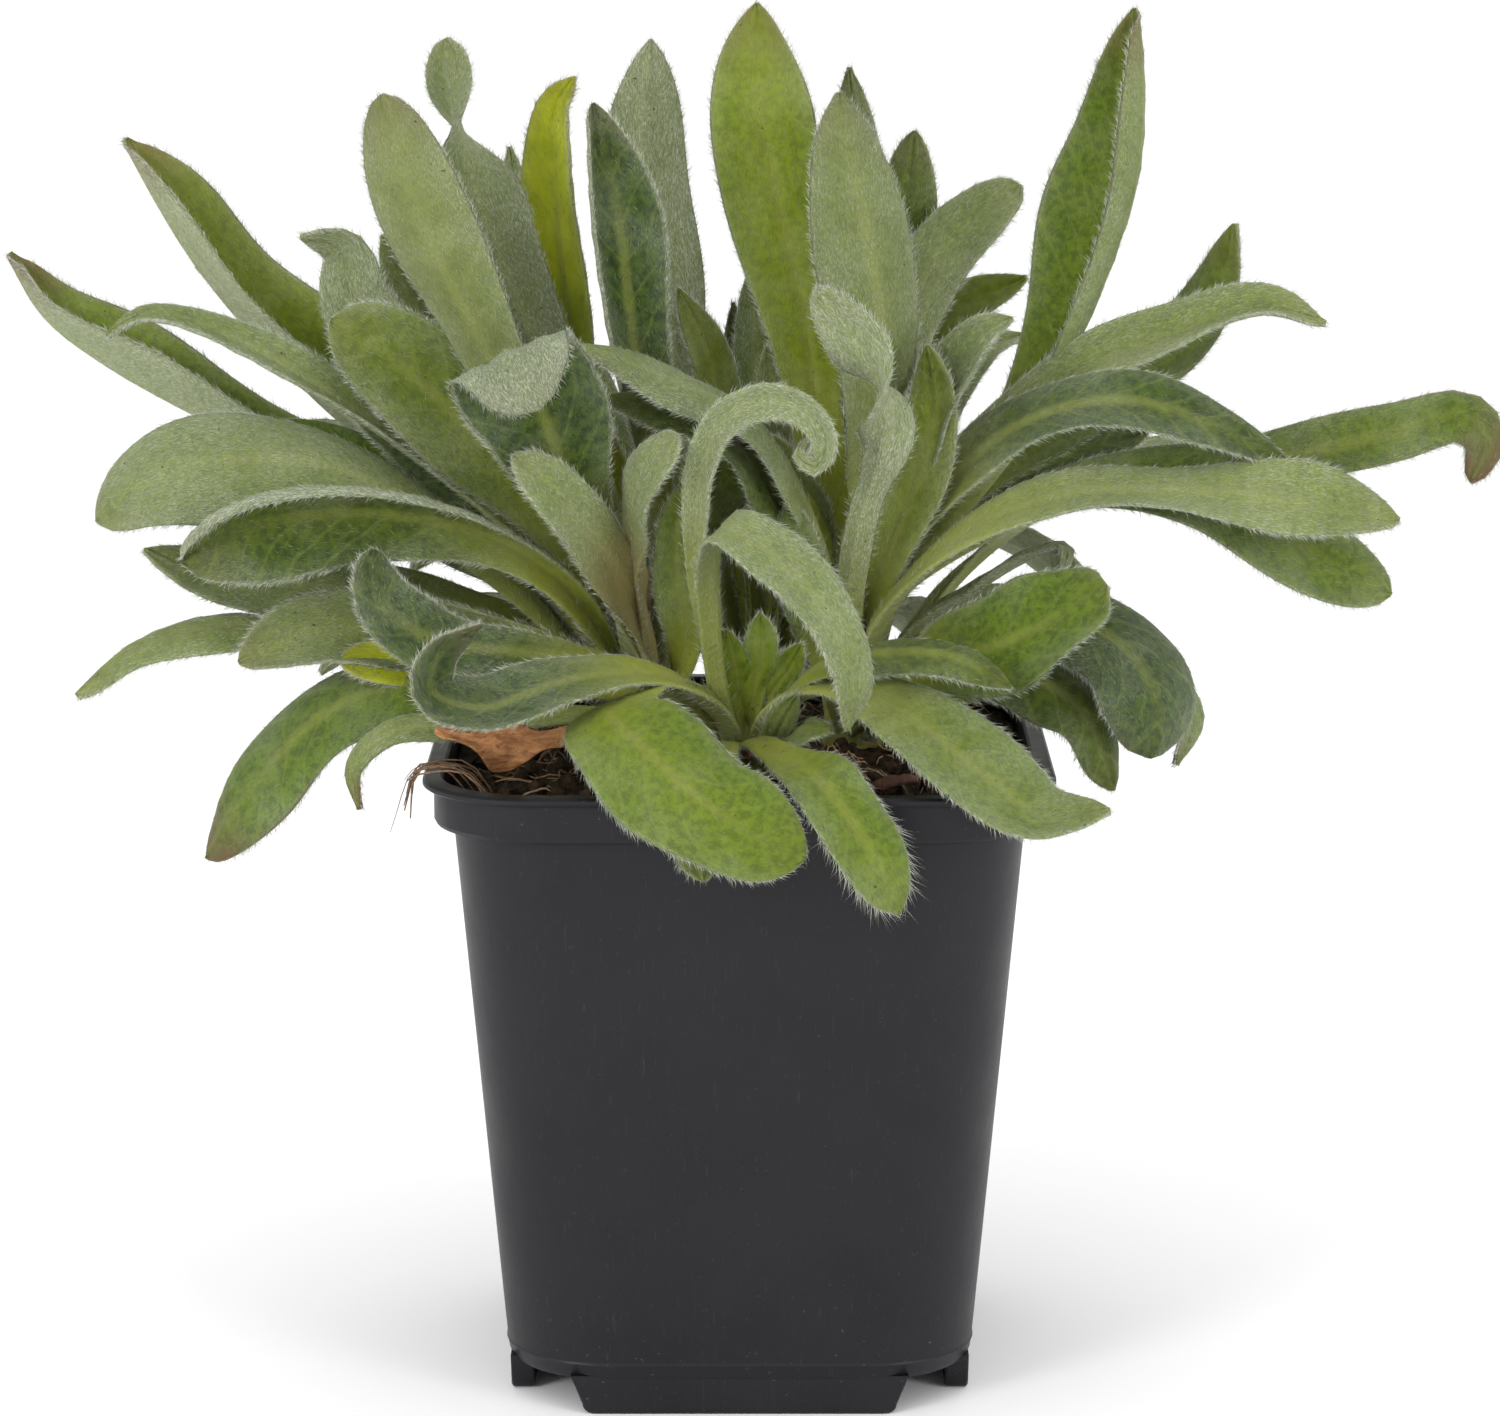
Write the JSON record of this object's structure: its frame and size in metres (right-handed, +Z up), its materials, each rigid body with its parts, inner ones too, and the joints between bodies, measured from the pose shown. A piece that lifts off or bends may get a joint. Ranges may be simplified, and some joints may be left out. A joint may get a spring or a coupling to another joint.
{
  "type": "potted white rose campion",
  "caption": "Square tapered plastic nursery pot filled with soil, holding a clump of felted, silvery green spoon-shaped leaves that arch out in all directions",
  "frame": {"origin": "centre of the bounding box's bottom: the pot's vertical axis on the plane that its feet stand on", "axes": "+Z up, -Y towards the pictured side, +X to the right of the picture and along the widest spread of the leaves"},
  "size_m": [0.2211, 0.1186, 0.2011],
  "materials": {
    "pot_plastic": "satin",
    "peat": "matte",
    "felted_leaf": "matte",
    "withered_leaf": "matte",
    "bark": "matte"
  },
  "bodies": {
    "root": {"pot": "pot_plastic", "soil": "peat", "shoot_left": "felted_leaf", "shoot_right": "felted_leaf", "shoot_front": "felted_leaf", "shoot_back": "felted_leaf", "dead_leaf": "withered_leaf", "bark_strip": "bark"}
  },
  "joints": []
}
